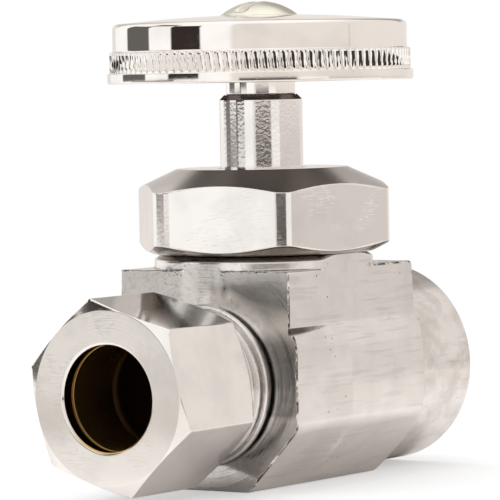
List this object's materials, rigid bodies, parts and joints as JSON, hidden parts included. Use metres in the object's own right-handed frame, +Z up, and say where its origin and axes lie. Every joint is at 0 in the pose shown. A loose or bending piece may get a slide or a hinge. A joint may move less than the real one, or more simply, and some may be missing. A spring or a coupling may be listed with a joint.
{
  "type": "supply stop valve",
  "caption": "Straight supply stop valve with a soldered pipe socket, a compression outlet nut, a hex packing nut and a ribbed round handwheel on a rising screw stem.",
  "frame": {"origin": "centre of the inlet socket's mouth, on the flow axis", "axes": "+X out of the inlet socket along the pipe, so the outlet is at -X; +Z up the stem towards the handle; +Y completes a right-handed frame"},
  "size_m": [0.0474, 0.0288, 0.0453],
  "materials": {
    "plated_body": "thin chrome plate over brushed and cast brass",
    "plated_nut": "chrome plate over turned brass",
    "plated_stem": "polished plated brass",
    "polished_chrome": "mirror chrome",
    "zinc_plate": "satin, slightly yellow zinc plate",
    "bare_brass": "turned brass, unplated",
    "black_rubber": "matte rubber",
    "white_nylon": "matte nylon",
    "red_fibre": "pressed fibre"
  },
  "bodies": {
    "valve": {"valve_body": "plated_body", "packing_nut": "plated_nut", "nut_gasket": "red_fibre", "gland_bushing": "bare_brass", "friction_ring": "white_nylon", "stem_packing": "black_rubber"},
    "washer_lift": {"seat_washer": "black_rubber"},
    "spindle": {"stem": "plated_stem", "seat_washer_screw": "bare_brass", "handle": "polished_chrome", "handle_screw": "zinc_plate"},
    "sleeve": {"outlet_sleeve": "bare_brass"},
    "union_nut": {"outlet_nut": "plated_nut"}
  },
  "joints": [
    {"name": "stem_lift", "type": "slide", "parent": "valve", "child": "washer_lift", "axis": [0, 0, 1], "range_m": [-0.00381, 0]},
    {"name": "handle_turn", "type": "hinge", "parent": "washer_lift", "child": "spindle", "pos_m": [-0.0218, 0, 0], "axis": [0, 0, 1], "range_deg": [-1080, 0]},
    {"name": "nut_travel", "type": "slide", "parent": "valve", "child": "sleeve", "axis": [-1, 0, 0], "range_m": [-0.00053, 0.0053]},
    {"name": "nut_turn", "type": "hinge", "parent": "sleeve", "child": "union_nut", "pos_m": [-0.0414, 0, 0], "axis": [-1, 0, 0], "range_deg": [-180, 1800]}
  ],
  "couplings": [
    {"joint": "stem_lift", "follows": "handle_turn", "m_per_rad": 0.00020213},
    {"joint": "nut_travel", "follows": "nut_turn", "m_per_rad": 0.00016844}
  ]
}
